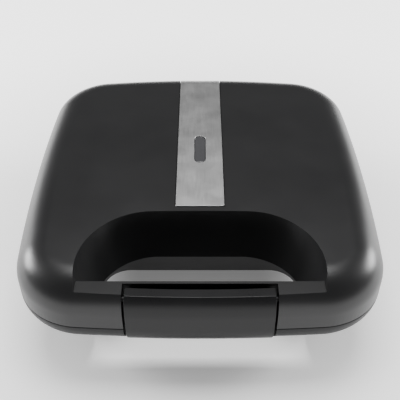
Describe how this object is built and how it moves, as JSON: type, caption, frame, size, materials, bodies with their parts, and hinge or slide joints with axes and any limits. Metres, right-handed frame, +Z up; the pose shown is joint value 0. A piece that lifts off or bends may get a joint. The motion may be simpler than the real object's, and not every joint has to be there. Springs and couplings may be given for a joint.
{
  "type": "panini press",
  "caption": "Electric contact grill: domed lid over a base, ribbed plates inside, a handle bar with a finger hole through both shells, and a snap latch.",
  "frame": {"origin": "on the table, under the centre of the press's bounding box", "axes": "+Z up, +X to the right seen from the front, -Y towards the handle and the latch, +Y towards the hinge and the cord inlet"},
  "size_m": [0.226, 0.248, 0.08],
  "materials": {
    "black_shell": "satin",
    "inner_plastic": "matte",
    "nonstick": "nonstick coated, matte",
    "element_steel": "oxidised",
    "sheet_steel": "plain sheet",
    "screw_steel": "zinc plated",
    "pin_steel": "ground",
    "ceramic": "matte",
    "terminal_white": "matte",
    "wire_sheath_red": "matte",
    "wire_sheath_blue": "matte",
    "sleeve_glassfibre": "woven",
    "trim_metal": "fine brushed",
    "lens_grey": "clear gloss",
    "lamp_red": "clear",
    "lamp_green": "clear",
    "holder_white": "matte",
    "rubber_black": "matte"
  },
  "bodies": {
    "base": {"base_shell": "black_shell", "base_frame": "inner_plastic", "lower_grill_plate": "nonstick", "lower_heating_element": "element_steel", "lower_element_clamps": "sheet_steel", "lower_heat_reflector": "sheet_steel", "base_thermostat": "ceramic", "terminal_block": "terminal_white", "base_wiring": "wire_sheath_blue", "cord_gland": "rubber_black", "foot_front_left": "rubber_black", "foot_front_right": "rubber_black", "foot_rear_left": "rubber_black", "foot_rear_right": "rubber_black", "base_frame_screws": "screw_steel", "lower_plate_screws": "screw_steel", "hinge_pin_left": "pin_steel", "hinge_pin_right": "pin_steel", "hinge_wire_sleeve": "sleeve_glassfibre"},
    "lid": {"lid_shell": "black_shell", "trim_strip": "trim_metal", "indicator_lens": "lens_grey", "lamp_holder": "holder_white", "power_lamp": "lamp_red", "ready_lamp": "lamp_green", "lid_frame": "inner_plastic", "upper_grill_plate": "nonstick", "upper_heating_element": "element_steel", "upper_element_clamps": "sheet_steel", "upper_heat_reflector": "sheet_steel", "lid_thermostat": "ceramic", "thermal_fuse": "sheet_steel", "lid_wiring": "wire_sheath_red", "lid_frame_screws": "screw_steel", "upper_plate_screws": "screw_steel", "latch_pin": "pin_steel"},
    "latch": {"latch": "black_shell"}
  },
  "joints": [
    {"name": "lid_hinge", "type": "hinge", "parent": "base", "child": "lid", "pos_m": [0, 0.11855, 0.046], "axis": [-1, 0, 0], "range_deg": [0, 105]},
    {"name": "latch_pivot", "type": "hinge", "parent": "lid", "child": "latch", "pos_m": [0, -0.11525, 0.064], "axis": [-1, 0, 0], "range_deg": [0, 25]}
  ]
}
